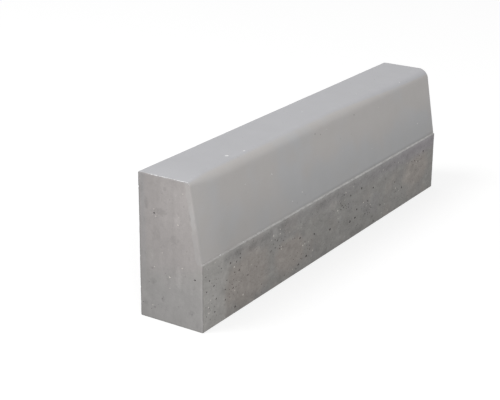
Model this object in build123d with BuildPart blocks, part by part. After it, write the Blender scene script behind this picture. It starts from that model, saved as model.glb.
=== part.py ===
from build123d import *

import os

# Concrete kerb stone: one pressed casting, one metre long, with a battered road face.
#
# Frame: +X runs along the kerb, -Y is the road face, +Y is the back and +Z is up.
# The origin is the middle of the bed, the face the kerb is laid on. Millimetres.

# Overall block
kerb_length = 1000.0
bed_width = 150.0
top_width = 120.0  # from the back to where batter and top would meet if the nose were sharp
kerb_height = 300.0

# Road face: upright as far as the joint of the mould, then a narrow tread, then the batter
joint_height = 142.0  # of the mould joint above the bed
tread_width = 3.0  # the tread that the joint leaves at the foot of the batter
tread_fall = 0.6  # how far the tread falls towards the road

# Edges
nose_radius = 25.0  # between the batter and the top
back_radius = 3.0  # between the top and the back
bed_radius = 3.0  # along both long edges of the bed
tread_radius = 1.8  # along the outer edge of the tread
end_radius = 1.2  # round both end faces, the smallest so that it can follow the others

# Corners of the section: y across the kerb, z above the bed
road_y = -bed_width / 2
back_y = bed_width / 2
foot_y = road_y + tread_width
nose_y = back_y - top_width
tread_z = joint_height - tread_fall


def corner_at(y, z):
    """The corner of the section that lies at this place, y across the kerb and z up."""
    return section.vertices().sort_by_distance((y, z))[0]


with BuildPart() as kerb_stone:
    # The section stands across the kerb: its own first axis is y and its second is z
    with BuildSketch(Plane.YZ) as section:
        with BuildLine():
            Polyline(
                (road_y, 0),
                (back_y, 0),
                (back_y, kerb_height),
                (nose_y, kerb_height),
                (foot_y, joint_height),
                (road_y, tread_z),
                close=True,
            )
        make_face()

        # Each corner is picked by the place where it stood sharp
        fillet(corner_at(road_y, 0), bed_radius)
        fillet(corner_at(back_y, 0), bed_radius)
        fillet(corner_at(road_y, tread_z), tread_radius)
        fillet(corner_at(nose_y, kerb_height), nose_radius)
        fillet(corner_at(back_y, kerb_height), back_radius)

    extrude(amount=kerb_length / 2, both=True)

    # The arris round each end face is worn to a small round
    end_faces = kerb_stone.faces().filter_by(Axis.X)
    fillet(end_faces.edges(), end_radius)

kerb_stone.part.label = "kerb_stone"

os.makedirs("parts", exist_ok=True)
export_step(kerb_stone.part, "parts/kerb_stone.step")
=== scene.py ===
# %% [markdown]
# # A concrete kerb stone
# A road kerb is one casting: a metre of concrete, upright at the back and at the foot of the
# road face, and leaning back above the joint of its mould. Its looks are all in the surface.
# The top and the leaning face are a smooth facing mix, the rest is coarser core concrete with
# open pores. This lesson builds that surface in Blender over the exact solid of the frame.

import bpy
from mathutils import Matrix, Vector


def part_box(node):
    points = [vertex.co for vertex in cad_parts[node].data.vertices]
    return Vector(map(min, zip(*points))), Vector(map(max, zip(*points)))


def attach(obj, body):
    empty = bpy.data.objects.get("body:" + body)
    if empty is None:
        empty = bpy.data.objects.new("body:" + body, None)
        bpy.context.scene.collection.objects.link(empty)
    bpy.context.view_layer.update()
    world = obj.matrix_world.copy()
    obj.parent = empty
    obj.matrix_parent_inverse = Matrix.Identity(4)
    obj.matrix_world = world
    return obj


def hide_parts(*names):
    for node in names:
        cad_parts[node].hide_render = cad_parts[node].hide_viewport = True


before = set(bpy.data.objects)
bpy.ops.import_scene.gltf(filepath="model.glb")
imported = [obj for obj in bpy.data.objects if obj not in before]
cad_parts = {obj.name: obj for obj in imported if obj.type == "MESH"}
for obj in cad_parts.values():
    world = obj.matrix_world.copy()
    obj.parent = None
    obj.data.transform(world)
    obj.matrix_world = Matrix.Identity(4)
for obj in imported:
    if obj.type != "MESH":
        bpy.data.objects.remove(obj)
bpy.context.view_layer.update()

import math
import random

import bmesh
import bpy
from mathutils import Matrix, Vector, noise

low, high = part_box("kerb_stone")
length, width, height = high - low
print("kerb", round(length, 3), "x", round(width, 3), "x", round(height, 3), "m")

# %% [markdown]
# ## The section
# The casting is the same all along, so one outline says most of it. Its corners are named in
# millimetres, as on a drawing. The back is plain. The road face has a narrow tread where the two
# halves of the mould met, and above it the batter leans back to a generous nose.

# %% Sizes of the section
MM = 0.001
joint_height = 142 * MM
tread_width = 3 * MM
tread_fall = 0.6 * MM
top_width = 120 * MM
nose_radius = 25 * MM
small_radius = 3 * MM
tread_radius = 1.8 * MM
end_radius = 1.2 * MM

near_end = low.x
far_end = high.x
road_y = low.y
back_y = high.y
foot_y = road_y + tread_width
nose_y = back_y - top_width
tread_z = joint_height - tread_fall
batter_up = Vector((0, nose_y - foot_y, height - joint_height)).normalized()
batter_out = Vector((0, -batter_up.z, batter_up.y))
nose_angle = math.acos(batter_up.dot(Vector((0, -1, 0))))
nose_reach = nose_radius / math.tan(nose_angle / 2)
print("batter leans back", round(math.degrees(math.atan2(batter_up.y, batter_up.z)), 1), "degrees")

# %% [markdown]
# ## The raw casting
# The outline could be a curve with an extrusion, but a mesh is needed for the worn edges, so it
# starts as one face. Extruding that face by the kerb's length gives the block, and bevelling
# its long edges gives the rounds. A bevel's offset is the length that a round takes from each
# face, so the nose, which is blunter than a right angle, takes a little less than its radius.

# %% Extrude the section and round its edges
nose_segments = 12
small_segments = 3
end_segments = 2
closeness = 0.1 * MM


def edges_at(bm, y, z):
    """The long edges of the block that run past this point of the section."""
    found = []
    for edge in bm.edges:
        a, b = (vert.co for vert in edge.verts)
        long_one = abs(a.x - b.x) > length / 2
        if long_one and math.hypot(a.y - y, a.z - z) < closeness:
            found.append(edge)
    return found


def round_edges(bm, edges, offset, segments):
    bmesh.ops.bevel(bm, geom=edges, offset=offset, segments=segments, profile=0.5,
                    affect="EDGES", material=-1)


def raw_casting():
    bm = bmesh.new()
    outline = [(road_y, 0), (back_y, 0), (back_y, height), (nose_y, height),
               (foot_y, joint_height), (road_y, tread_z)]
    section = bm.faces.new([bm.verts.new((near_end, y, z)) for y, z in outline])
    grown = bmesh.ops.extrude_face_region(bm, geom=[section], use_keep_orig=True)
    moved = [item for item in grown["geom"] if isinstance(item, bmesh.types.BMVert)]
    bmesh.ops.translate(bm, verts=moved, vec=(length, 0, 0))
    bmesh.ops.recalc_face_normals(bm, faces=bm.faces)

    round_edges(bm, edges_at(bm, nose_y, height), nose_reach, nose_segments)
    round_edges(bm, edges_at(bm, road_y, tread_z), tread_radius, small_segments)
    for y, z in (road_y, 0), (back_y, 0), (back_y, height):
        round_edges(bm, edges_at(bm, y, z), small_radius, small_segments)

    rims = [edge for edge in bm.edges if edge.verts[0].co.x == edge.verts[1].co.x]
    round_edges(bm, rims, end_radius, end_segments)
    return bm


casting = raw_casting()
print("raw casting:", len(casting.faces), "faces")

# %% [markdown]
# ## Small squares for the relief
# Relief needs vertices, and a flat face has none inside it. Subdividing would follow the odd
# shapes of the bevels, so the block is cut like graph paper instead, by planes along each axis.
# The tread gets a second, closer set of cuts across the kerb, because its edge is the most ragged
# line on it.

# %% Cut the faces like graph paper
square = 5 * MM
tread_zone = 4 * MM
cut_tolerance = 0.01 * MM


def cut_across(bm, axis, place, faces):
    """Cuts these faces by one plane at right angles to an axis."""
    normal = Vector()
    normal[axis] = 1
    edges = {edge for face in faces for edge in face.edges}
    verts = {vert for face in faces for vert in face.verts}
    bmesh.ops.bisect_plane(bm, geom=[*verts, *edges, *faces], dist=cut_tolerance,
                           plane_co=normal * place, plane_no=normal)


def cut_to_squares(bm):
    for axis, start, end in (2, 0, height), (1, road_y, back_y), (0, near_end, far_end):
        count = round((end - start) / square)
        for number in range(1, count):
            cut_across(bm, axis, start + (end - start) * number / count, bm.faces[:])


def is_on_tread(face):
    centre = face.calc_center_median()
    return abs(centre.z - tread_z) < tread_zone and centre.y < foot_y + MM


def cut_tread_closer(bm):
    """Halves the squares along the tread."""
    count = round(length / square)
    columns = [[] for _ in range(count)]
    for face in filter(is_on_tread, bm.faces):
        share = (face.calc_center_median().x - near_end) / length
        columns[min(int(share * count), count - 1)].append(face)
    for number, column in enumerate(columns):
        cut_across(bm, 0, near_end + (number + 0.5) * square, column)


cut_to_squares(casting)
print("cut to squares:", len(casting.faces), "faces")
cut_tread_closer(casting)
print("with a closer tread:", len(casting.faces), "faces")

# %% [markdown]
# ## Relief
# Cast concrete is never quite flat. The mould's sheet waves a little over a hand's width, and
# the core concrete is uneven where its grains come close to the skin. Noise read at each
# vertex's own place pushes it inwards along its normal, so the kerb never grows past its size,
# and the bed stays flat because the kerb rests on it.

# %% Push the skin in by noise
wave_depth = 0.5 * MM
core_depth = 0.45 * MM
facing_depth = 0.06 * MM
waves_per_metre = 9
lumps_per_metre = 70


def soft_step(value, start, end):
    share = min(max((value - start) / (end - start), 0), 1)
    return share * share * (3 - 2 * share)


def is_facing(place):
    """1 on the facing mix above the joint, 0 on core concrete."""
    if place.x < near_end + MM or place.x > far_end - MM or place.y > back_y - MM:
        return 0
    return soft_step(place.z, tread_z, joint_height + MM)


def relief_at(place):
    wave = noise.noise(place * waves_per_metre) * 0.5 + 0.5
    lumps = noise.fractal(place * lumps_per_metre, 1.0, 2.0, 3) * 0.5 + 0.5
    lump_depth = core_depth + (facing_depth - core_depth) * is_facing(place)
    return wave * wave_depth + lumps * lump_depth


def add_relief(bm):
    bm.normal_update()
    deepest = 0
    for vert in bm.verts:
        if vert.co.z < small_radius:
            continue
        depth = relief_at(vert.co)
        vert.co -= vert.normal * depth
        deepest = max(deepest, depth)
    return deepest


# %% [markdown]
# ## A tighter nose at the near end
# The nose is worn less at the end of the kerb in view, where it comes close to a corner, and it
# opens to its full round within a hand's width. Scaling a round towards the sharp corner that it
# replaces makes a smaller round that still meets both faces, so that is what happens to each
# vertex of the nose, by an amount that fades along the kerb.

# %% Tighten the nose
end_nose_share = 0.45
nose_run = 80 * MM
nose_corner = Vector((0, nose_y, height))
reach_slack = 1.001


def tighten_nose(bm):
    changed = 0
    for vert in bm.verts:
        from_corner = Vector((0, vert.co.y, vert.co.z)) - nose_corner
        if from_corner.length > nose_reach * reach_slack or vert.co.x > near_end + nose_run:
            continue
        opened = soft_step(vert.co.x, near_end, near_end + nose_run)
        share = end_nose_share + (1 - end_nose_share) * opened
        vert.co.y = nose_y + from_corner.y * share
        vert.co.z = height + from_corner.z * share
        changed += 1
    return changed


print("nose vertices moved:", tighten_nose(casting))
print("deepest relief", round(add_relief(casting) / MM, 2), "mm")

# %% [markdown]
# ## The ragged tread
# Where the mould's halves met, wet mix crept into the joint and broke off when the kerb was
# lifted out. That leaves an edge that wanders up and down by half a millimetre and is bitten back
# in places. It is most ragged near the end. The vertices of the tread are simply moved, since the
# closer cuts are there for that.

# %% Ruffle the tread
ragged_up = 0.9 * MM
calm_share = 0.6
more_at_end = 0.8
end_run = 160 * MM
ragged_back = 1.1 * MM
tears_per_metre = 110
small_tears_per_metre = 320
bites_per_metre = 170


def ruffle_tread(bm):
    moved = 0
    for vert in bm.verts:
        near_edge = 1 - soft_step(abs(vert.co.z - tread_z), 1.2 * MM, 4 * MM)
        if near_edge == 0 or vert.co.y > foot_y + 0.8 * MM:
            continue
        at_end = 1 + more_at_end * (1 - soft_step(vert.co.x, near_end, near_end + end_run))
        along = Vector((vert.co.x, 0, 0))
        rise = noise.noise(along * tears_per_metre)
        rise += 0.5 * noise.noise(along * small_tears_per_metre)
        bite = max(0, noise.noise(along * bites_per_metre + Vector((0, 9, 0))))
        vert.co.z += rise * ragged_up * at_end * near_edge * calm_share
        vert.co.y += bite * ragged_back * near_edge
        moved += 1
    return moved


print("tread vertices moved:", ruffle_tread(casting))

# %% [markdown]
# ## Pores and chips
# Air bubbles leave round pores, and handling knocks nicks off the arrises. Both are hollows, so
# they are cut by a Boolean, which gives real walls that catch the light from any side. The
# cutters are lumpy spheres: an icosphere, squashed and roughened, one for each hollow. Each is
# set to the depth of the relief where it stands, or the smallest would miss the skin.

# %% Shape one cutter
dice = random.Random(7)
large_lump = 1.1 * MM
lumpiness = 0.7
clearance = 1.7
taken = []


def claim(place, radius, reach):
    """Takes this place for a lump of this reach, unless it comes too near to another."""
    if any((place - other).length < (radius + size) * clearance for other, size in taken):
        return False
    taken.append((place, reach))
    return True


def add_lump(bm, place, radius, squash=(1, 1, 1)):
    """A roughened sphere, turned at random and squashed along the axes."""
    turn = Matrix.Rotation(dice.uniform(0, math.tau), 4, dice.choice("XYZ"))
    shape = Matrix.Translation(place) @ Matrix.Diagonal((*squash, 1)) @ turn
    finer = 2 if radius > large_lump else 1
    grown = bmesh.ops.create_icosphere(bm, subdivisions=finer, radius=radius, matrix=shape)
    for vert in grown["verts"]:
        swell = 1 + lumpiness * noise.noise(vert.co * 1.1 / radius)
        vert.co = place + (vert.co - place) * swell


def add_hollow(bm, place, inwards, radius, squash=(1, 1, 1), sunk=0.0):
    """One cutter at this place of a face, unless it would touch another. Its middle is sunk
    below the skin by this share of its radius, and a share below zero leaves a shallow dish."""
    seat = place + inwards * (relief_at(place) + sunk * radius)
    if not claim(seat, radius, radius * max(squash)):
        return 0
    add_lump(bm, seat, radius, squash)
    return 1


# %% [markdown]
# ## Pores face by face
# The core concrete below the joint is the most open. Its large pores were seen in the picture, so
# those are listed where they stand, in millimetres along the kerb and up. Middling ones come in
# flocks, where the mix was drier, and the rest fall at random. Both kinds are shallow dishes, with
# their middles a little outside the skin. The ends are tighter and the facing mix has only
# pinholes. Nobody sees the back of a laid kerb, so that face keeps the bug holes that a plain steel
# side leaves.

# %% Cut in the pores that are seen
into_road_face = Vector((0, 1, 0))
into_near_end = Vector((1, 0, 0))

# Place along the kerb or across it, then up, then radius, in millimetres
large_road_pores = [
    (440, 110, 2.9), (395, 98, 2.3), (330, 48, 3.2), (320, 42, 2.2), (125, 108, 3.0),
    (182, 92, 2.4), (220, 38, 2.2), (105, 63, 2.7), (98, 45, 3.4), (74, 43, 3.2), (74, 106, 2.2),
    (188, 8, 2.3), (-16, 54, 3.1), (-83, 66, 2.5), (-144, 77, 2.7), (-117, 26, 3.2),
    (-149, 18, 2.8), (-259, 87, 1.8), (-406, 113, 2.4), (-376, 88, 2.7), (-345, 66, 2.1),
    (-424, 42, 2.0), (-390, 14, 2.6), (-424, 64, 1.7), (-463, 86, 2.0), (-471, 95, 1.3),
    (-478, 102, 1.9), (-455, 97, 1.1), (-490, 114, 1.6), (-487, 82, 1.8), (-471, 83, 1.1),
    (-419, 82, 1.5), (-424, 61, 1.7), (-401, 66, 1.5), (-409, 74, 1.1),
]
large_end_pores = [(-56, 107, 2.0), (38, 223, 1.8), (40, 26, 1.4), (-49, 34, 1.1), (21, 48, 1.1),
                   (68, 30, 1.0), (-17, 41, 1.0)]
large_nose_pores = [(123, 137, 1.5), (-48, 137, 1.3), (-27, 131, 1.1)]

pores = bmesh.new()
for x, z, radius in large_road_pores:
    add_hollow(pores, Vector((x * MM, road_y, z * MM)), into_road_face, radius * MM,
               (1.1, 1.5, 0.9))
for y, z, radius in large_end_pores:
    add_hollow(pores, Vector((near_end, y * MM, z * MM)), into_near_end, radius * MM, (1.5, 1, 1))
for x, up, radius in large_nose_pores:
    place = Vector((x * MM, foot_y, joint_height)) + batter_up * up * MM
    add_hollow(pores, place, -batter_out, radius * MM)
print("pores that are seen:", len(taken))

# %% Scatter the other pores
into_back = Vector((0, -1, 0))
into_far_end = Vector((-1, 0, 0))
into_top = Vector((0, 0, -1))

# Middle of each flock in millimetres, along and up, and how many pores it has
pore_flocks = [(-465, 60, 4), (-395, 55, 9), (-385, 100, 4), (-225, 95, 9), (-120, 40, 9),
               (35, 102, 12), (155, 52, 12), (310, 60, 8), (405, 92, 10), (-480, 35, 5)]
flock_reach = 20 * MM
flock_sizes = (1.2 * MM, 2.6 * MM)
road_pores = 260
back_pores = 190
end_pores = 46
high_end_pores = 10
top_pinholes = 26
margin = 6 * MM
tries_each = 3
dish = -0.3


def pore_radius(smallest, largest):
    """Small pores are many and large ones few."""
    return smallest * (largest / smallest) ** (dice.random() ** 2.5)


def scatter(bm, count, sizes, corner, along, up, inwards):
    """Pores over a face that starts at a corner and spans two edges."""
    made = 0
    tries = 0
    while made < count and tries < count * tries_each:
        tries += 1
        place = corner + along * dice.random() + up * dice.random()
        made += add_hollow(bm, place, inwards, pore_radius(*sizes), sunk=dish)
    return made


for x, z, count in pore_flocks:
    corner = Vector((x * MM - flock_reach, road_y, z * MM - flock_reach))
    scatter(pores, count, flock_sizes, corner, Vector((2 * flock_reach, 0, 0)),
            Vector((0, 0, 2 * flock_reach)), into_road_face)

along_kerb = Vector((length - 2 * margin, 0, 0))
across_kerb = Vector((0, width - 2 * margin, 0))
below_joint = Vector((0, 0, tread_z - 2 * margin))
full_height = Vector((0, 0, height - 2 * margin))

road_foot = Vector((near_end + margin, road_y, margin))
print("road face:", scatter(pores, road_pores, (0.6 * MM, 1.9 * MM), road_foot, along_kerb,
                            below_joint, into_road_face), "pores")
back_foot = Vector((near_end + margin, back_y, margin))
print("back:", scatter(pores, back_pores, (0.6 * MM, 3.2 * MM), back_foot, along_kerb,
                       full_height, into_back), "pores")
end_foot = Vector((0, road_y + 3 * margin, margin))
end_across = across_kerb * 0.8
for name, x, inwards in ("near end", near_end, into_near_end), ("far end", far_end, into_far_end):
    made = scatter(pores, end_pores, (0.4 * MM, 1.1 * MM), end_foot + Vector((x, 0, 0)),
                   end_across, full_height * 0.62, inwards)
    made += scatter(pores, high_end_pores, (0.4 * MM, 0.9 * MM),
                    Vector((x, foot_y + 40 * MM, height * 0.65)), Vector((0, 60 * MM, 0)),
                    Vector((0, 0, 90 * MM)), inwards)
    print(name + ":", made, "pores")
top_strip = Vector((near_end + margin, nose_y + nose_radius, height))
print("top:", scatter(pores, top_pinholes, (0.4 * MM, 0.8 * MM), top_strip, along_kerb,
                      Vector((0, top_width - nose_radius - 2 * margin, 0)), into_top), "pinholes")

# %% [markdown]
# ## Nicks along the arrises
# An arris is where a kerb gets knocked. The nicks are the same lumps, strung along each edge and
# standing a little out from its round, so that each takes off a shallow bite. The bed's edges get
# the most, because the kerb is set down on them.

# %% Knock the arrises
nicks = bmesh.new()
stand_out = 0.2


def on_round(corner, outwards, edge_radius):
    """The middle of the round that an edge has, near the place where it would be sharp."""
    return corner - outwards.normalized() * edge_radius * (math.sqrt(2) - 1)


def nick_edge(bm, count, smallest, largest, start, end, outwards, edge_radius):
    made = 0
    for _ in range(count):
        radius = pore_radius(smallest, largest)
        corner = start.lerp(end, dice.uniform(0.01, 0.99))
        place = on_round(corner, outwards, edge_radius) + outwards.normalized() * radius * stand_out
        if claim(place, radius, radius):
            along_edge = abs(end.x - start.x) > length / 2
            add_lump(bm, place, radius, (1.6, 1, 1) if along_edge else (1, 1, 1.5))
            made += 1
    return made


nick_count = 0
for y, z, count, out_y, out_z, edge_radius in (
        (road_y, 0, 70, -1, -1, small_radius), (back_y, 0, 60, 1, -1, small_radius),
        (back_y, height, 36, 1, 1, small_radius), (road_y, tread_z, 40, -1, 1, tread_radius)):
    nick_count += nick_edge(nicks, count, 0.7 * MM, 2.6 * MM, Vector((near_end, y, z)),
                            Vector((far_end, y, z)), Vector((0, out_y, out_z)), edge_radius)
for x, out_x in (near_end, -1), (far_end, 1):
    foot = Vector((x, road_y, 0))
    heel = Vector((x, back_y, 0))
    batter_foot = Vector((x, foot_y, joint_height + margin))
    batter_head = batter_foot + batter_up * 110 * MM
    for count, largest, start, end, outwards in (
            (16, 1.8, foot, heel, (out_x, 0, -1)),
            (14, 1.6, foot, Vector((x, road_y, tread_z)), (out_x, -1, 0)),
            (22, 2.2, heel, Vector((x, back_y, height)), (out_x, 1, 0)),
            (8, 1.4, batter_foot, batter_head, (out_x, -1, 0))):
        nick_count += nick_edge(nicks, count, 0.6 * MM, largest * MM, start, end,
                                Vector(outwards), end_radius)
print("nicks:", nick_count)

# %% [markdown]
# One chip is larger: a flake has come off the near arris of the batter, halfway up. It is three
# lumps in a row, each clear of the next by less than the eye sees.

# %% Flake the batter's arris
for z, radius in (226, 3.0), (216, 2.2), (207, 2.6):
    y = foot_y + (z * MM - joint_height) * batter_up.y / batter_up.z
    add_lump(nicks, Vector((near_end - MM, y - MM, z * MM)), radius * MM, (1, 1, 1.7))
print("cutters:", len(pores.faces) + len(nicks.faces), "faces in all")

# %% [markdown]
# ## Crumbs and burrs
# Some things stand proud. Wet facing was squeezed into the joints of the mould and dried as a
# dotted burr, on the near arris of the top and along the tread. White crumbs dried on the top and
# the batter, and pale sand grains show on the near end and the road face. Those that the picture
# shows are listed where they stand. All are the same lumps, half sunk in the skin, and a third
# Boolean joins them on.

# %% List the crumbs that are seen
top_crumbs = [(-330, -14, 3.0), (-285, -24, 1.9), (-318, -32, 1.0), (12, 20, 1.1), (205, -8, 1.3)]
batter_crumbs = [(-229, 100, 1.5), (-167, 24, 1.1), (-325, 107, 1.1), (1, 135, 0.9)]
tread_crumbs = [(-441, 1.9), (-425, 1.6), (-403, 1.8), (-361, 1.4), (-310, 1.9), (-291, 1.6),
                (-180, 1.6), (-158, 1.4)]
road_specks = [(-250, 118, 1.7), (-225, 124, 1.5), (-257, 110, 1.2), (-409, 121, 2.3),
               (-362, 29, 1.7), (-392, 50, 1.3)]
end_specks = [(-18, 210, 1.5), (3, 98, 1.5), (-27, 124, 1.2), (34, 219, 1.3), (20, 145, 1.1),
              (39, 112, 1.1), (-30, 275, 1.2), (45, 29, 1.1), (3, 75, 0.9), (-20, 226, 0.9),
              (38, 231, 1.2), (34, 217, 1.4), (42, 218, 1.0), (31, 222, 0.9)]
crumb_lists = [top_crumbs, batter_crumbs, tread_crumbs, road_specks, end_specks]
print("crumbs that are seen:", sum(len(crumb_list) for crumb_list in crumb_lists))

# %% Set the crumbs
crumbs = bmesh.new()
top_burrs = 34
tread_burrs = 44


def add_crumb(place, radius, squash):
    if not claim(place, radius, radius):
        return 0
    add_lump(crumbs, place, radius, squash)
    return 1


crumb_count = 0
for x, y, radius in top_crumbs:
    place = Vector((x * MM, y * MM, height - 0.3 * MM))
    crumb_count += add_crumb(place, radius * MM, (1, 1, 0.4))
for x, up, radius in batter_crumbs:
    place = Vector((x * MM, foot_y, joint_height)) + batter_up * up * MM
    crumb_count += add_crumb(place - batter_out * 0.3 * MM, radius * MM, (1, 0.45, 1))
for y, z, radius in end_specks:
    place = Vector((near_end + 0.2 * MM, y * MM, z * MM))
    crumb_count += add_crumb(place, radius * MM, (0.4, 1, 1))
for x, radius in tread_crumbs:
    place = Vector((x * MM, road_y + 1.2 * MM, tread_z + 0.5 * MM))
    crumb_count += add_crumb(place, radius * MM, (1.5, 0.7, 0.8))
for x, z, radius in road_specks:
    place = Vector((x * MM, road_y + 0.4 * MM, z * MM))
    crumb_count += add_crumb(place, radius * MM, (0.9, 0.4, 1.3))
for x, z, count in pore_flocks:
    for _ in range(count // 2):
        place = Vector((x * MM + dice.uniform(-1, 1) * flock_reach, road_y + 0.5 * MM,
                        z * MM + dice.uniform(-1, 1) * flock_reach))
        crumb_count += add_crumb(place, dice.uniform(1.0, 1.9) * MM, (1.2, 0.4, 1))
for _ in range(top_burrs):
    y = dice.uniform(nose_y + 3 * MM, 46 * MM)
    place = Vector((near_end + 0.7 * MM, y, height - 0.7 * MM))
    crumb_count += add_crumb(place, dice.uniform(0.5, 1.0) * MM, (1, 1.5, 1))
for _ in range(tread_burrs):
    x = near_end + length * dice.random() ** 1.3
    place = Vector((x, road_y + 0.9 * MM, tread_z + dice.uniform(-0.6, 0.5) * MM))
    crumb_count += add_crumb(place, dice.uniform(0.4, 0.8) * MM, (2.2, 0.9, 0.9))
print("crumbs:", crumb_count)

# %% [markdown]
# ## The cut itself
# The walls of a pore are painted darker than the skin, as painted shade in the hollow, and a
# fresh nick is lighter, so the cut has to remember which faces it made. Each cutter has a
# material of its own, the Boolean hands it on to the walls, and afterwards each wall's material
# becomes a number in a face attribute.

# %% Cut the hollows
def object_from(bm, name):
    mesh = bpy.data.meshes.new(name)
    bm.to_mesh(mesh)
    bm.free()
    item = bpy.data.objects.new(name, mesh)
    bpy.context.scene.collection.objects.link(item)
    return item


def combine(item, cutter, operation):
    """Cuts one closed mesh from another or joins it on, and keeps the result as plain mesh."""
    cutter.data.materials.append(bpy.data.materials.new(cutter.name))
    boolean = item.modifiers.new("cut", "BOOLEAN")
    boolean.operation = operation
    boolean.solver = "MANIFOLD"
    boolean.material_mode = "TRANSFER"
    boolean.object = cutter
    graph = bpy.context.evaluated_depsgraph_get()
    result = bpy.data.meshes.new_from_object(item.evaluated_get(graph))
    item.modifiers.clear()
    item.data = result
    bpy.data.objects.remove(cutter)


def check_closed(item):
    """Counts the edges that don't join two faces, and the triangles."""
    bm = bmesh.new()
    bm.from_mesh(item.data)
    open_edges = sum(1 for edge in bm.edges if len(edge.link_faces) != 2)
    triangles = sum(len(face.verts) - 2 for face in bm.faces)
    bm.free()
    return open_edges, triangles


def mark_faces(item, number, name):
    """A face attribute, 1 on the walls that one cutter left."""
    marks = item.data.attributes.new(name, "FLOAT", "FACE")
    made = [polygon.material_index == number for polygon in item.data.polygons]
    marks.data.foreach_set("value", [float(wall) for wall in made])
    return sum(made)


kerb = object_from(casting, "kerb_casting")
kerb.data.materials.append(bpy.data.materials.new("skin"))
combine(kerb, object_from(pores, "pore_cutter"), "DIFFERENCE")
combine(kerb, object_from(nicks, "nick_cutter"), "DIFFERENCE")
combine(kerb, object_from(crumbs, "crumb_lumps"), "UNION")
print("open edges and triangles:", check_closed(kerb))
for number, name in (1, "pore_wall"), (2, "nick_wall"), (3, "crumb"):
    print(name, "faces:", mark_faces(kerb, number, name))

sharp_angle = math.radians(50)
for polygon in kerb.data.polygons:
    polygon.use_smooth = True
kerb.data.set_sharp_from_angle(angle=sharp_angle)

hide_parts("kerb_stone")
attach(kerb, "root")

# %% [markdown]
# ## Tools for the concrete's pattern
# The skin is all patterns: clouds, grains, spots. They are worked out at each point from its
# place on the kerb, in metres, so they have a real size and run round the arrises as the real
# mix does. A few short functions lay down the nodes, each named for what it draws. They all work
# on the tree in hand, the one that the word tree stands for when they are called.

# %% Small tools for nodes
def new_node(kind):
    return tree.nodes.new("ShaderNode" + kind)


def feed(socket, value):
    """Gives a socket a number, a colour, or what another node puts out."""
    if isinstance(value, bpy.types.NodeSocket):
        tree.links.new(value, socket)
    else:
        socket.default_value = value


def reckon(operation, first, second=0.0):
    node = new_node("Math")
    node.operation = operation
    feed(node.inputs[0], first)
    feed(node.inputs[1], second)
    return node.outputs[0]


def product(*factors):
    result = factors[0]
    for factor in factors[1:]:
        result = reckon("MULTIPLY", result, factor)
    return result


def total(*parts):
    result = parts[0]
    for part in parts[1:]:
        result = reckon("ADD", result, part)
    return result


def opposite(share):
    """1 where a pattern is 0, and 0 where it is 1."""
    return reckon("SUBTRACT", 1, share)


def toned(pattern, amount):
    """A factor of 1 where a pattern is 0, and larger by this much where it is 1."""
    return total(1, product(pattern, amount))


def fade(value, start, end, first=0.0, last=1.0):
    """Goes softly from the first number to the last while the value goes from start to end."""
    node = new_node("MapRange")
    node.interpolation_type = "SMOOTHSTEP"
    for name, number in ("From Min", start), ("From Max", end), ("To Min", first), ("To Max", last):
        node.inputs[name].default_value = number
    feed(node.inputs["Value"], value)
    return node.outputs["Result"]


def mix(share, first, second):
    node = new_node("Mix")
    node.data_type = "RGBA"
    feed(node.inputs["Factor"], share)
    feed(node.inputs[6], first)
    feed(node.inputs[7], second)
    return node.outputs[2]


def between(share, first, second):
    """A number between two others."""
    node = new_node("Mix")
    node.data_type = "FLOAT"
    feed(node.inputs[0], share)
    feed(node.inputs[2], first)
    feed(node.inputs[3], second)
    return node.outputs[0]


def lighten(colour, factor):
    node = new_node("VectorMath")
    node.operation = "SCALE"
    feed(node.inputs[0], colour)
    feed(node.inputs["Scale"], factor)
    return node.outputs[0]


# %% Clouds, streaks and spots
def stretched(place, scale, shift=0.0):
    node = new_node("Mapping")
    feed(node.inputs["Vector"], place)
    node.inputs["Scale"].default_value = scale
    node.inputs["Location"].default_value = (shift, shift * 0.7, shift * 1.3)
    return node.outputs["Vector"]


def clouds(place, size, detail=2.0, roughness=0.5):
    """Noise about this many metres from one cloud to the next, 0 to 1 and 0.5 on average."""
    node = new_node("TexNoise")
    feed(node.inputs["Vector"], place)
    node.inputs["Scale"].default_value = 1 / size
    node.inputs["Detail"].default_value = detail
    node.inputs["Roughness"].default_value = roughness
    return node.outputs["Fac"]


def swing(pattern, amount):
    """Turns a pattern about 0.5 into a factor about 1, larger or smaller by up to this."""
    return total(1 - amount, product(pattern, 2 * amount))


def spots(place, spacing, radius, share):
    """1 inside small round spots, in this share of the cells, and 0 outside."""
    cells = new_node("TexVoronoi")
    feed(cells.inputs["Vector"], place)
    cells.inputs["Scale"].default_value = 1 / spacing
    pick = new_node("SeparateColor")
    feed(pick.inputs["Color"], cells.outputs["Color"])
    chosen = reckon("LESS_THAN", pick.outputs["Red"], share)
    reach = total(0.45 * radius / spacing, product(pick.outputs["Green"], radius / spacing))
    inside = reckon("DIVIDE", cells.outputs["Distance"], reach)
    return product(fade(inside, 1.0, 0.55), chosen)


def grains(place, spacing):
    """A random number for each stone of the mix, 0 to 1, and how far off its middle is."""
    cells = new_node("TexVoronoi")
    feed(cells.inputs["Vector"], place)
    cells.inputs["Scale"].default_value = 1 / spacing
    pick = new_node("SeparateColor")
    feed(pick.inputs["Color"], cells.outputs["Color"])
    return pick.outputs["Blue"], cells.outputs["Distance"]


def grey(red, green, blue):
    """A colour as a paint chart gives it, 0 to 255, turned into light."""
    def to_light(number):
        share = number / 255
        return share / 12.92 if share <= 0.04045 else ((share + 0.055) / 1.055) ** 2.4
    return (to_light(red), to_light(green), to_light(blue), 1.0)


# %% [markdown]
# ## Where each mix lies
# The facing mix is a layer about 12 mm thick under the top and the batter, and it stops at the
# joint of the mould. Its depth is measured in the material, from the two planes that it lies
# under, so that the ends and the back show the layer cut through, as a real kerb does. Along the
# top of the ends it doesn't show, because core mix is smeared over it there.

# %% Start the material and find the layer
concrete = bpy.data.materials.new("cast_concrete")
concrete.use_nodes = True
tree = concrete.node_tree
tree.nodes.clear()

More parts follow.
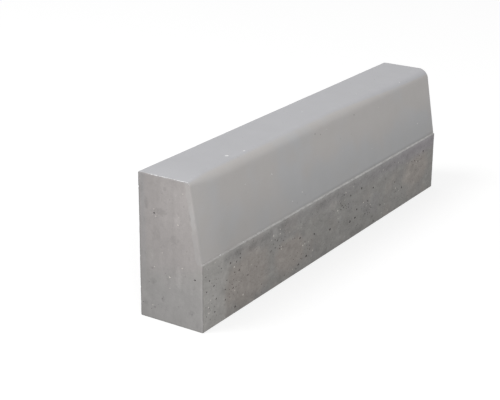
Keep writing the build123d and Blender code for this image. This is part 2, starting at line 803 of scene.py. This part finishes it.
where = new_node("TexCoord").outputs["Object"]
parts = new_node("SeparateXYZ")
feed(parts.inputs[0], where)
at_x, at_y, at_z = parts.outputs

facing_thickness = 12 * MM


def elsewhere(shift):
    """The place moved aside, so that two patterns of one size don't match."""
    return stretched(where, (1, 1, 1), shift)


def ragged(size, amount, detail=3):
    """A number to either side of 0 that makes an outline wander."""
    return product(reckon("SUBTRACT", clouds(where, size, detail), 0.5), amount)


def inside_plane(out_y, out_z, y, z):
    """How deep a point lies under a plane through (y, z) that faces out_y, out_z."""
    offset = y * out_y + z * out_z
    return reckon("SUBTRACT", offset, total(product(at_y, out_y), product(at_z, out_z)))


under_batter = inside_plane(batter_out.y, batter_out.z, foot_y, joint_height)
under_top = inside_plane(0, 1, 0, height)
from_near_end = reckon("SUBTRACT", at_x, near_end)
from_far_end = reckon("SUBTRACT", far_end, at_x)
to_nearest_end = reckon("MINIMUM", from_near_end, from_far_end)
is_end = fade(to_nearest_end, 1.6 * MM, 0.8 * MM)
smeared_over = product(is_end, facing_thickness)
layer_depth = reckon("MINIMUM", under_batter, total(under_top, smeared_over))
wobble = ragged(22 * MM, 10 * MM)
ripple = ragged(6 * MM, 3.2 * MM, 2)
in_layer = fade(total(layer_depth, wobble), facing_thickness + 1.2 * MM,
                facing_thickness - 1.2 * MM)
above_joint = fade(total(at_z, ripple), tread_z - 2.6 * MM, tread_z - 1.4 * MM)
facing = product(in_layer, above_joint)
print("nodes that find the layer:", len(tree.nodes))

# %% [markdown]
# ## The facing mix
# Fine sand and cement, pressed against smooth steel: an even light grey, hardly clouded, with
# bright fines here and there and pinholes. Its tint drifts between warm and neutral over a
# hand's width. The top gets a painted cool reflection of the sky, and so does more and more of
# the nose towards the far end. The facing gets painted shade, darker towards the tread and
# lighter towards the top, except in a lighter corner at the near end. The greys are written as a
# paint chart names them.

# %% Colour the facing
facing_warm = grey(180, 177, 175)
facing_cool = grey(177, 177, 178)
# A painted cool reflection of the sky on the top
top_sky_reflection = grey(176, 176, 179)
white_fines = grey(232, 231, 228)

low_and_far = product(fade(at_x, near_end + 80 * MM, 0), fade(at_z, 260 * MM, 170 * MM))
drift = total(clouds(where, 90 * MM, 2), product(low_and_far, 0.30))
facing_colour = mix(fade(drift, 0.45, 0.80), facing_warm, facing_cool)
# The painted sky reflection reaches further into the nose towards the far end
sky_reflection_on_nose = product(fade(at_x, 0, far_end), -10 * MM)
on_top = fade(total(under_top, sky_reflection_on_nose), 4 * MM, 0.5 * MM)
facing_colour = mix(on_top, facing_colour, top_sky_reflection)
facing_clouds = swing(clouds(where, 45 * MM, 4), 0.045)
facing_sand = swing(clouds(where, 2.2 * MM, 2), 0.035)
facing_pins = spots(where, 17 * MM, 0.9 * MM, 0.30)
# Painted shade: the facing is darker towards the tread and lighter towards the top
facing_painted_shade = fade(at_z, tread_z, height - 40 * MM, 0.91, 1.06)
pin_dark = toned(facing_pins, -0.4)
# The facing is lighter near the near end
lighter_near_end = fade(from_near_end, 95 * MM, 10 * MM, 1.0, 1.05)
# A low corner of the batter at the near end is lighter
low_corner = product(fade(at_z, 240 * MM, tread_z), fade(from_near_end, 110 * MM, 10 * MM))
lighter_low_corner = toned(low_corner, 0.07)
cut_layer = product(is_end, fade(at_z, 190 * MM, 225 * MM))
cut_light = toned(cut_layer, 0.02)
facing_light = product(facing_clouds, facing_sand, facing_painted_shade, pin_dark, lighter_near_end,
                       lighter_low_corner, cut_light)
facing_colour = lighten(facing_colour, facing_light)
facing_fines = spots(elsewhere(0.31), 26 * MM, 1.6 * MM, 0.12)
facing_colour = mix(product(facing_fines, 0.6), facing_colour, white_fines)
far_nose = product(fade(at_x, 0, far_end), fade(under_top, 0, 2 * MM),
                   fade(under_top, 16 * MM, 6 * MM))
facing_colour = lighten(facing_colour, toned(far_nose, 0.05))
print("nodes with the facing:", len(tree.nodes))

# %% [markdown]
# ## The core concrete
# The core mix is damp gravel and sand, rammed and struck at once, so its skin is open. Patterns of
# several sizes make it: patches of brown and blue-grey as wide as a hand, clouds of a finger's
# width that are drawn out along the kerb, stones of 8 mm that show through, and sand. It is cooler
# just under the joint, with some mauve towards the far end, and the ends are pinker higher up.
# Dark pits and pale sand grains go on top.

# %% Colour the core
core_grey = grey(160, 158, 155)
core_brown = grey(168, 162, 157)
core_cool = grey(156, 154, 154)
core_pink = grey(163, 158, 157)
core_mauve = grey(161, 156, 160)
core_tight = grey(161, 159, 156)
pale_grain = grey(212, 208, 202)

brown_blots = [(-350, 60, 120, 80), (-185, 55, 80, 55), (405, 75, 85, 60)]


def blot(middle, reach, wander):
    """1 in the middle of a blot and 0 beyond its reach. An axis with no reach doesn't count."""
    scale = [1 / size if size else 0 for size in reach]
    away = new_node("VectorMath")
    away.operation = "DISTANCE"
    feed(away.inputs[0], stretched(where, scale))
    feed(away.inputs[1], [place * factor for place, factor in zip(middle, scale)])
    return fade(total(away.outputs["Value"], wander), 1.0, 0.5)


off_end = opposite(is_end)
warm_clouds = clouds(elsewhere(0.83), 75 * MM, 3)
blots = fade(warm_clouds, 0.5, 0.7, 0.0, 0.5)
wide_wander = ragged(40 * MM, 0.7)
for x, z, wide, high in brown_blots:
    found = blot((x * MM, 0, z * MM), (wide * MM, 0, high * MM), wide_wander)
    blots = reckon("MAXIMUM", blots, found)
cool_clouds = clouds(elsewhere(0.57), 60 * MM, 3)
cool_patch = product(fade(cool_clouds, 0.5, 0.66), opposite(blots))
under_joint = product(fade(at_z, 95 * MM, 125 * MM), fade(at_x, near_end, far_end, 0.3, 1.0))
cool_share = reckon("MAXIMUM", product(cool_patch, 0.5), under_joint)
core_colour = mix(product(blots, off_end), core_grey, core_brown)
core_colour = mix(product(cool_share, off_end), core_colour, core_cool)
far_mauve = product(under_joint, off_end, fade(at_x, 100 * MM, far_end))
core_colour = mix(product(far_mauve, 0.7), core_colour, core_mauve)
pink_wander = product(clouds(where, 40 * MM, 3), 240 * MM)
end_pink = product(is_end, fade(total(at_z, pink_wander), 180 * MM, 290 * MM))
core_colour = mix(product(end_pink, 0.8), core_colour, core_pink)

lengthwise = stretched(where, (0.55, 1, 1))
stone, stone_distance = grains(where, 8 * MM)
stone_tone = between(is_end, swing(stone, 0.04), swing(stone, 0.025))
core_clouds = swing(clouds(lengthwise, 26 * MM, 4), 0.13)
core_mottle = swing(clouds(lengthwise, 10 * MM, 3, 0.6), 0.15)
core_sand = swing(clouds(lengthwise, 3.4 * MM, 3, 0.65), 0.18)
core_pits = spots(where, 11 * MM, 1.9 * MM, 0.45)
core_pale = spots(elsewhere(0.19), 16 * MM, 1.8 * MM, 0.30)
print("nodes with the core:", len(tree.nodes))

# %% [markdown]
# ## Skins on the core
# The same core looks different from face to face. The ends were struck by a plate: tighter, with
# faint upright streaks, and cooler along the back arris and the foot. They are painted with light
# and shade: lighter towards the top and the road, and darker in a thin strip along the back arris.
# The road face below the joint is the open one, blotchy and darker, with a lighter lip under the
# tread. A hand's breadth of it at the near end was pressed tighter and is a plain grey. Lighter and
# darker marks that the picture shows are listed where they lie. Every face is a shade darker
# towards the foot.

# %% Streak and smudge the ends
upright = stretched(where, (1, 1, 0.12))
end_streaks = swing(clouds(upright, 9 * MM, 2), 0.06)
end_sand = swing(clouds(where, 3.4 * MM, 3, 0.6), 0.09)
end_mottle = swing(clouds(where, 32 * MM, 3, 0.4), 0.075)
smudges = clouds(stretched(where, (1, 1, 0.6), 0.37), 13 * MM, 3, 0.6)
smudge_tone = total(1, product(is_end, fade(smudges, 0.40, 0.30), -0.08),
                    product(is_end, fade(smudges, 0.60, 0.70), 0.06))
print("nodes with the streaks:", len(tree.nodes))

# %% Put in the marks that are seen
# Middle of each mark, y and z, then its half width and half height, then how much lighter it is
end_marks = [
    (57, 238, 6, 14, -0.11), (23, 228, 19, 9, -0.10), (12, 276, 6, 6, -0.12),
    (68, 270, 6, 12, -0.10), (-8, 179, 14, 11, -0.10), (34, 180, 13, 19, -0.06),
    (19, 48, 6, 6, -0.13), (-47, 35, 8, 8, -0.12), (61, 31, 6, 6, -0.09), (42, 82, 10, 6, -0.08),
    (-18, 100, 9, 26, 0.09), (-17, 219, 9, 16, 0.09), (21, 134, 8, 26, 0.05),
]
# The same on the road face, x and z
# The dark marks just under the tread, about 120 mm up, are painted shadow under the tread's ledge
road_marks = [
    (-379, 126, 18, 9, -0.15), (-327, 121, 20, 10, -0.13), (-274, 124, 24, 9, -0.13),
    (-218, 125, 24, 12, -0.12), (-50, 124, 26, 10, -0.10), (35, 102, 22, 18, -0.10),
    (155, 52, 26, 18, -0.11), (244, 93, 24, 9, -0.10), (62, 48, 24, 12, -0.10),
    (113, 12, 44, 14, -0.10), (-369, 18, 34, 16, -0.06), (-66, 30, 20, 14, -0.07),
    (-305, 107, 16, 12, 0.12), (-244, 122, 14, 14, 0.14), (-142, 113, 22, 12, 0.12),
    (-4, 106, 24, 12, 0.12), (204, 109, 26, 18, 0.07), (350, 62, 26, 16, 0.12),
    (428, 110, 20, 12, 0.10), (-391, 59, 14, 12, 0.12), (-350, 80, 20, 14, 0.07),
    (-410, 24, 22, 16, 0.05),
]
mark_wander = ragged(6 * MM, 1.9)
on_near_face = fade(from_near_end, 1.6 * MM, 0.8 * MM)
end_mark_tone = 1
for y, z, wide, high, change in end_marks:
    found = blot((0, y * MM, z * MM), (0, wide * MM, high * MM), mark_wander)
    end_mark_tone = total(end_mark_tone, product(found, on_near_face, change))
road_side = fade(at_y, foot_y + 3 * MM, foot_y + MM)
road_mark_tone = 1
for x, z, wide, high, change in road_marks:
    found = blot((x * MM, 0, z * MM), (wide * MM, 0, high * MM), mark_wander)
    road_mark_tone = total(road_mark_tone, product(found, road_side, change))
print("nodes with", len(end_marks) + len(road_marks), "marks:", len(tree.nodes))

# %% Darken and lighten each face
below_joint_share = fade(at_z, joint_height + MM, joint_height - 3 * MM)
pressed_edge = total(from_near_end, ragged(30 * MM, 60 * MM))
pressed = fade(pressed_edge, 92 * MM, 62 * MM)
open_skin = product(road_side, below_joint_share, opposite(pressed))
pressed_tint = product(pressed, road_side, off_end, 0.85)
core_colour = mix(pressed_tint, core_colour, core_tight)

sand = between(is_end, core_sand, end_sand)
mottle = between(is_end, product(core_mottle, core_clouds), end_mottle)
streaks = between(is_end, 1.0, end_streaks)
road_dark = toned(open_skin, fade(at_x, -100 * MM, far_end, -0.15, -0.12))
# Darker towards the foot
foot_dark = fade(at_z, -20 * MM, 110 * MM, 0.985, 1.03)
# Painted light and shade on the ends: lighter towards the top and the road, darker in a thin strip
# at the back arris
ends_lighter_upwards = between(fade(at_y, road_y, back_y),
                        fade(at_z, 90 * MM, 290 * MM, 1.03, 1.20),
                        fade(at_z, 110 * MM, 290 * MM, 1.075, 1.14))
end_painted_light = between(is_end, 1.0,
                  product(ends_lighter_upwards, fade(at_y, road_y, back_y, 1.085, 0.965),
                          fade(at_y, back_y - 4.5 * MM, back_y - 1.5 * MM, 1.0, 0.86)))
cool_edge = fade(at_y, back_y - 22 * MM, back_y - 10 * MM, 0.0, 0.7)
cool_foot = fade(at_z, 150 * MM, 60 * MM, 0.0, 0.6)
end_cool = product(is_end, reckon("MAXIMUM", cool_edge, cool_foot))
core_colour = mix(end_cool, core_colour, core_cool)
end_pale = spots(elsewhere(0.43), 20 * MM, 1.9 * MM, 0.22)
pit_dark = toned(core_pits, between(is_end, -0.45, -0.2))
blotches = clouds(stretched(where, (0.55, 1, 1), 0.71), 17 * MM, 4, 0.62)
blotch_tone = total(1, product(open_skin, fade(blotches, 0.56, 0.68), 0.11),
                    product(open_skin, fade(blotches, 0.44, 0.32), -0.11))
under_tread = fade(at_z, tread_z - 15 * MM, tread_z - 4 * MM, 0.0, 0.13)
lip_light = toned(under_tread, open_skin)
pressed_gain = fade(at_z, 50 * MM, tread_z, 0.085, 0.055)
pressed_light = toned(product(pressed, road_side), pressed_gain)
core_light = product(stone_tone, sand, mottle, streaks, road_dark, foot_dark, end_painted_light,
                     pit_dark, pressed_light, blotch_tone, lip_light, smudge_tone, end_mark_tone,
                     road_mark_tone)
core_colour = lighten(core_colour, core_light)
pale_share = between(is_end, core_pale, end_pale)
core_colour = mix(product(pale_share, 0.75), core_colour, pale_grain)
print("nodes with every skin:", len(tree.nodes))

# %% [markdown]
# ## Burrs, dust, painted light and painted shade at the edges
# Where wet facing was squeezed into a joint it dried as a thin pale burr: along the tread, and
# as a dotted white line on the near arris of the top. The tread's burr is painted lighter, as
# painted light on its ledge, and the dotted white line is partly burr and partly a painted
# highlight. A pale smear of it lies on the near end, beside the batter. The corner above the tread
# gets painted shade and dust, more of it towards the far end, as a fine dark line, and the upright
# arris gets painted shade that dims its highlight.

# %% Draw the burrs
# White of the burrs and of a painted highlight
burr_and_highlight_white = grey(228, 228, 228)
# The tread's greys are lighter, as painted light on its ledge
burr_pale_lit = grey(198, 197, 195)
tread_lit_grey = grey(176, 175, 173)

# Partly burr and partly a painted highlight on the near arris of the top
on_top_edge = product(fade(under_top, 2.4 * MM, 1.2 * MM),
                      fade(from_near_end, 3.4 * MM, 2.2 * MM),
                      fade(at_y, 60 * MM, 48 * MM))
top_dots = fade(clouds(where, 5 * MM, 2), 0.47, 0.58)
top_burr_and_highlight = product(on_top_edge, total(0.25, product(top_dots, 0.75)))

beside_tread = product(fade(at_y, foot_y + 1.4 * MM, foot_y + 0.6 * MM),
                       fade(total(at_z, ripple), tread_z - 1.9 * MM, tread_z - 0.9 * MM),
                       fade(at_z, joint_height + 1.2 * MM, joint_height + 0.4 * MM),
                       fade(from_near_end, 60 * MM, 260 * MM, 0.4, 1.0))
tread_dots = fade(clouds(where, 14 * MM, 3), 0.30, 0.70)
tread_burr_and_light = mix(tread_dots, tread_lit_grey, burr_pale_lit)
above_joint_well = fade(at_z, joint_height + 0.2 * MM, joint_height + 1.0 * MM)
# Painted shade and dust in the corner above the tread
corner_shade_and_dust = product(fade(at_z, joint_height + 8 * MM, joint_height + 2 * MM),
                    fade(at_z, joint_height + 0.2 * MM, joint_height + 0.8 * MM),
                    fade(at_y, foot_y + 3 * MM, foot_y + 2 * MM),
                    fade(from_near_end, 0, 700 * MM, 0.0, 0.15))
print("nodes with the burrs:", len(tree.nodes))

# %% Lay burrs, dust, painted light and painted shade on the skin
nick_grey = grey(172, 170, 167)

arris_patches = fade(clouds(where, 16 * MM, 2), 0.35, 0.65, 1.25, 0.80)
# Painted shade on the upright arris, which dims its highlight
upright_arris_shade = product(fade(to_nearest_end, 1.6 * MM, 0.9 * MM),
                        fade(at_y, road_y + 1.6 * MM, road_y + 0.9 * MM), arris_patches)
smear = product(blot((0, -51 * MM, 228 * MM), (0, 12 * MM, 40 * MM), mark_wander), on_near_face)
# Painted shade, dust and the pale smear, as one factor
shade_dust_and_smear = total(1, product(corner_shade_and_dust, -1), product(upright_arris_shade, -0.45), product(smear, 0.012))
facing_on_end = total(0.6, product(smear, 0.4))
facing_share = product(facing, between(is_end, 1.0, facing_on_end))
skin = mix(facing_share, core_colour, facing_colour)
skin = lighten(skin, shade_dust_and_smear)
skin = mix(beside_tread, skin, tread_burr_and_light)
skin = mix(top_burr_and_highlight, skin, burr_and_highlight_white)


def mark(name):
    node = new_node("Attribute")
    node.attribute_name = name
    return node.outputs["Fac"]


# Painted shade in the pores: their walls are darkened
skin = lighten(skin, toned(mark("pore_wall"), -0.5))
skin = mix(product(mark("nick_wall"), 0.6), skin, nick_grey)
at_tread = fade(at_z, tread_z - 5 * MM, tread_z - 3 * MM)
crumb_tone = mix(at_tread, pale_grain, burr_pale_lit)
crumb_tone = mix(above_joint_well, crumb_tone, burr_and_highlight_white)
on_end_skin = product(is_end, fade(under_top, 3 * MM, 5 * MM))
crumb_tone = mix(on_end_skin, crumb_tone, pale_grain)
skin = mix(mark("crumb"), skin, crumb_tone)

# %% [markdown]
# ## Roughness and fine relief
# The mesh carries what is half a millimetre and more. Below that the material takes over: a bump
# from the same patterns, so that a pit is dark and deep and a stone stands up where its tone
# changes. Its height is in millimetres. The facing is nearly smooth and a little shinier.

# %% Set roughness and bump
smooth_height = total(product(clouds(where, 2.2 * MM, 3), 0.03), product(facing_pins, -0.25))
stone_height = product(fade(stone_distance, 0.1, 0.7, 1.0, 0.0), 0.12)
sand_height = product(clouds(lengthwise, 3.4 * MM, 4, 0.65), 0.55)
open_height = total(stone_height, sand_height, product(core_pits, -0.5))
tight_height = total(product(clouds(where, 3.4 * MM, 4, 0.6), 0.22), product(core_pits, -0.35))
core_height = between(open_skin, tight_height, open_height)
skin_height = total(between(facing, core_height, smooth_height), product(top_burr_and_highlight, 0.5))

bump = new_node("Bump")
bump.inputs["Strength"].default_value = 1.0
bump.inputs["Distance"].default_value = MM
feed(bump.inputs["Height"], skin_height)

surface = new_node("BsdfPrincipled")
feed(surface.inputs["Base Color"], skin)
feed(surface.inputs["Roughness"], between(facing, 0.9, 0.6))
feed(surface.inputs["Normal"], bump.outputs["Normal"])
surface.inputs["Specular IOR Level"].default_value = 0.35
output = new_node("OutputMaterial")
feed(output.inputs["Surface"], surface.outputs["BSDF"])

kerb.data.materials.clear()
kerb.data.materials.append(concrete)
for polygon in kerb.data.polygons:
    polygon.material_index = 0
print("nodes of the whole concrete:", len(tree.nodes))

# %% [markdown]
# ## A white studio
# The picture has a pure white ground. The camera sees the floor and the world as white through
# Is Camera Ray, and so do glossy rays, while the light that they throw on the kerb stays at a
# plain level. Part of the white that the camera sees on the floor is plain diffuse, which keeps
# the shadow, and its share of the emission is taken off again, at the brightness that a white
# floor has under these lamps. The floor lies a hair under the bed, so that the two faces don't
# show through each other.

# %% Floor and world
def seen_directly():
    """1 for the camera and for reflections, 0 for light that bounces."""
    path = new_node("LightPath")
    seen = reckon("MAXIMUM", path.outputs["Is Camera Ray"], path.outputs["Is Glossy Ray"])
    return reckon("MAXIMUM", seen, path.outputs["Is Transmission Ray"])


floor_bounce = (0.47, 0.47, 0.47, 1)
shadow_share = 0.36
lit_white = 0.8
floor_size = 8
floor_gap = 0.2 * MM

pale_floor = bpy.data.materials.new("pale_floor")
pale_floor.use_nodes = True
tree = pale_floor.node_tree
tree.nodes.clear()
bounce = new_node("BsdfDiffuse")
bounce.inputs["Color"].default_value = floor_bounce
shaded = new_node("BsdfDiffuse")
shaded.inputs["Color"].default_value = (shadow_share, shadow_share, shadow_share, 1)
white = new_node("Emission")
white.inputs["Strength"].default_value = 1 - shadow_share * lit_white
seen_floor = new_node("AddShader")
feed(seen_floor.inputs[0], shaded.outputs[0])
feed(seen_floor.inputs[1], white.outputs[0])
either = new_node("MixShader")
feed(either.inputs[0], seen_directly())
feed(either.inputs[1], bounce.outputs[0])
feed(either.inputs[2], seen_floor.outputs[0])
output = new_node("OutputMaterial")
feed(output.inputs["Surface"], either.outputs[0])

bm = bmesh.new()
bmesh.ops.create_grid(bm, x_segments=1, y_segments=1, size=floor_size,
                      matrix=Matrix.Translation((0, 0, -floor_gap)))
floor = object_from(bm, "floor")
floor.data.materials.append(pale_floor)

sky_light = 0.5
world = bpy.data.worlds.new("studio")
bpy.context.scene.world = world
world.use_nodes = True
tree = world.node_tree
background = tree.nodes["Background"]
background.inputs["Color"].default_value = (1, 1, 1, 1)
feed(background.inputs["Strength"], between(seen_directly(), sky_light, 1.0))
print("white shows with a shadow share of", shadow_share, "and a sky of", sky_light)

# %% [markdown]
# ## Lamps
# Two broad lamps stand to the left. One is high behind the kerb, so the top is brightest and gets
# darker as soon as the nose turns away from it. The other is in front and lower, for the batter
# and the road face. Both light the near end. They are far off, so their light hardly falls off
# along the kerb, as in the picture.

# %% Hang the lamps
kerb_middle = (0, 0, 0.15)


def soft_lamp(name, place, target, size, power):
    lamp_data = bpy.data.lights.new(name, "AREA")
    lamp_data.shape = "DISK"
    lamp_data.size = size
    lamp_data.energy = power
    lamp = bpy.data.objects.new(name, lamp_data)
    bpy.context.scene.collection.objects.link(lamp)
    lamp.location = place
    towards = Vector(target) - Vector(place)
    lamp.rotation_euler = towards.to_track_quat("-Z", "Y").to_euler()
    print(name, round(towards.length, 1), "m off,", power, "W")


soft_lamp("rear_lamp", (-3.0, 2.45, 5.95), kerb_middle, size=3.0, power=173)
soft_lamp("front_lamp", (-4.6, -4.2, 3.4), kerb_middle, size=3.0, power=159)

# %% [markdown]
# ## The camera
# The camera looks down the kerb from the near end with a long lens. Its place and lens were
# found by fitting the kerb's corners to the picture, and it is rolled by half a degree.

# %% Place the camera
camera_place = Vector((-2.301, -1.348, 1.101))
camera_aim = Vector((-0.340, -0.075, 0.2236))
camera_lens = 92.3
camera_roll = 0.5

camera_data = bpy.data.cameras.new("camera")
camera_data.lens = camera_lens
camera = bpy.data.objects.new("camera", camera_data)
bpy.context.scene.collection.objects.link(camera)
camera.location = camera_place
looking = (camera_aim - camera_place).to_track_quat("-Z", "Y").to_matrix()
rolled = looking @ Matrix.Rotation(math.radians(camera_roll), 3, "Z")
camera.rotation_euler = rolled.to_euler()
bpy.context.scene.camera = camera
bpy.context.scene.view_settings.view_transform = "Standard"
print("camera", round((camera_aim - camera_place).length, 2), "m from what it looks at")
